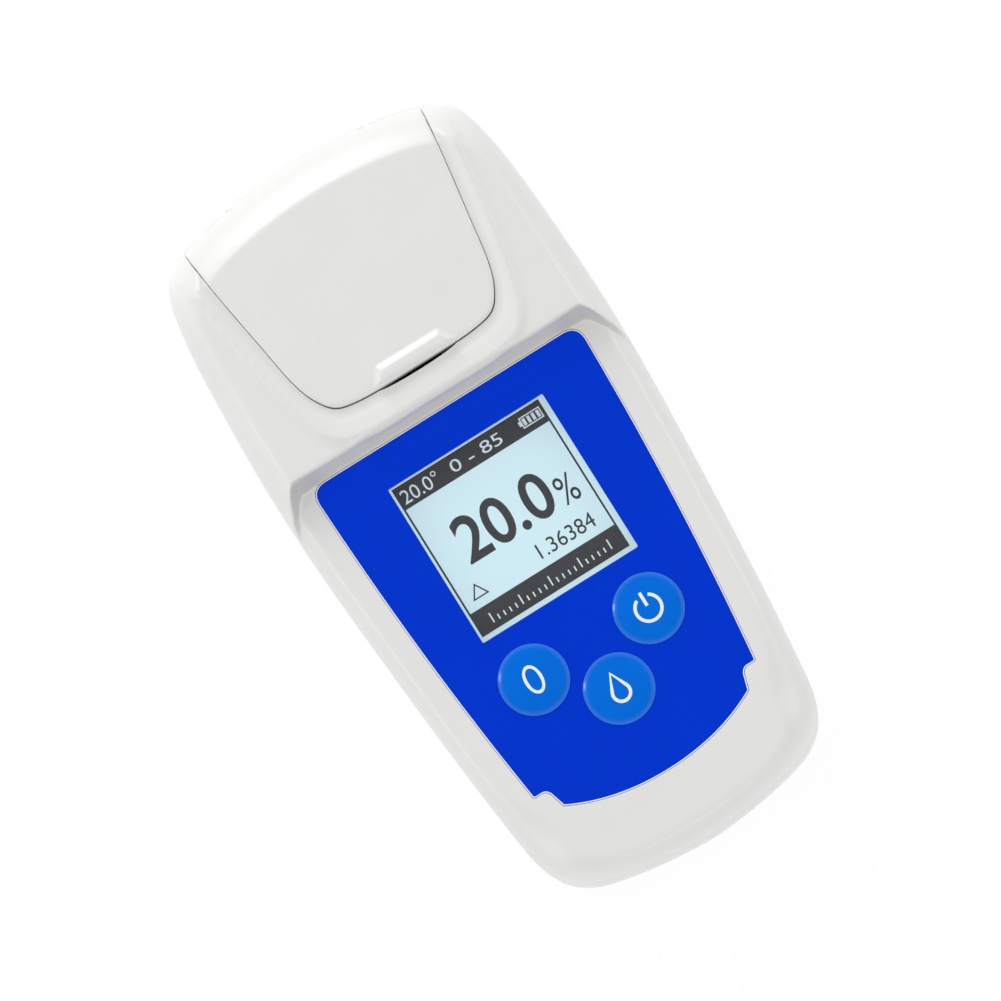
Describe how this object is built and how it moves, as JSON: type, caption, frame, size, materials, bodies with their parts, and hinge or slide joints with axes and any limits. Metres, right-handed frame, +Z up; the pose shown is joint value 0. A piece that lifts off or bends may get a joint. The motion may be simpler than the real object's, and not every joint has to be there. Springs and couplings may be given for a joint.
{
  "type": "digital brix refractometer",
  "caption": "Hand-held refractometer: flat two-shell case, raised head with a hinged lid over a sample well, a square display, three round keys and a sliding battery door.",
  "frame": {"origin": "on the table plane, under the middle of the object's box", "axes": "+Y towards the lid end, along the length; +Z up through the keypad; +X to the right as the display is read"},
  "size_m": [0.0586, 0.12, 0.025],
  "materials": {
    "case": "fine satin, off-white",
    "overlay": "semi-gloss blue printed film",
    "key": "semi-gloss light blue, domed",
    "window": "clear, polished",
    "display": "pale liquid crystal display",
    "black_plastic": "moulded black",
    "black_rubber": "soft black",
    "grey_rubber": "soft grey",
    "steel": "stainless, fine turned",
    "circuit_board": "green solder mask",
    "optical_glass": "polished optical glass",
    "battery": "plain printed sleeve on a metal can",
    "ribbon": "amber film",
    "cable": "grey jacket"
  },
  "bodies": {
    "case": {"top_cover": "case", "bottom_cover": "case", "case_seal": "grey_rubber", "hinge_pin_left": "steel", "hinge_pin_right": "steel", "keypad_overlay": "overlay", "display_window": "window", "zero_switch": "steel", "power_switch": "steel", "measure_switch": "steel", "lcd_panel": "display", "lcd_frame": "black_plastic", "lcd_strip_upper": "grey_rubber", "lcd_strip_lower": "grey_rubber", "main_board": "circuit_board", "microcontroller": "black_plastic", "board_screw_1": "steel", "board_screw_2": "steel", "board_screw_3": "steel", "board_screw_4": "steel", "battery_1": "battery", "battery_2": "battery", "battery_spring_1": "steel", "battery_spring_2": "steel", "contact_plus": "steel", "contact_minus": "steel", "contact_link": "steel", "sample_well": "steel", "prism_seal": "black_rubber", "prism": "optical_glass", "optical_block": "black_plastic", "led": "window", "led_board": "circuit_board", "lens": "optical_glass", "light_sensor": "black_plastic", "sensor_board": "circuit_board", "sensor_ribbon": "ribbon", "led_cable": "cable", "thermistor": "black_plastic", "block_screw_left": "steel", "block_screw_right": "steel", "case_screw_1": "steel", "case_screw_2": "steel", "case_screw_3": "steel", "case_screw_4": "steel", "foot_1": "grey_rubber", "foot_2": "grey_rubber", "foot_3": "grey_rubber", "foot_4": "grey_rubber"},
    "lid": {"lid": "case", "lid_seal": "black_rubber"},
    "zero_key": {"zero_button": "key"},
    "power_key": {"power_button": "key"},
    "measure_key": {"measure_button": "key"},
    "battery_door": {"battery_door": "case"}
  },
  "joints": [
    {"name": "lid_hinge", "type": "hinge", "parent": "case", "child": "lid", "pos_m": [0, 0.0574, 0.015], "axis": [-1, 0, 0], "range_deg": [0, 100]},
    {"name": "zero_press", "type": "slide", "parent": "case", "child": "zero_key", "axis": [0, 0, -1], "range_m": [0, 0.0004], "stiffness_N_per_m": 300},
    {"name": "power_press", "type": "slide", "parent": "case", "child": "power_key", "axis": [0, 0, -1], "range_m": [0, 0.0004], "stiffness_N_per_m": 300},
    {"name": "measure_press", "type": "slide", "parent": "case", "child": "measure_key", "axis": [0, 0, -1], "range_m": [0, 0.0004], "stiffness_N_per_m": 300},
    {"name": "door_slide", "type": "slide", "parent": "case", "child": "battery_door", "axis": [0, -1, 0], "range_m": [0, 0.05]}
  ]
}
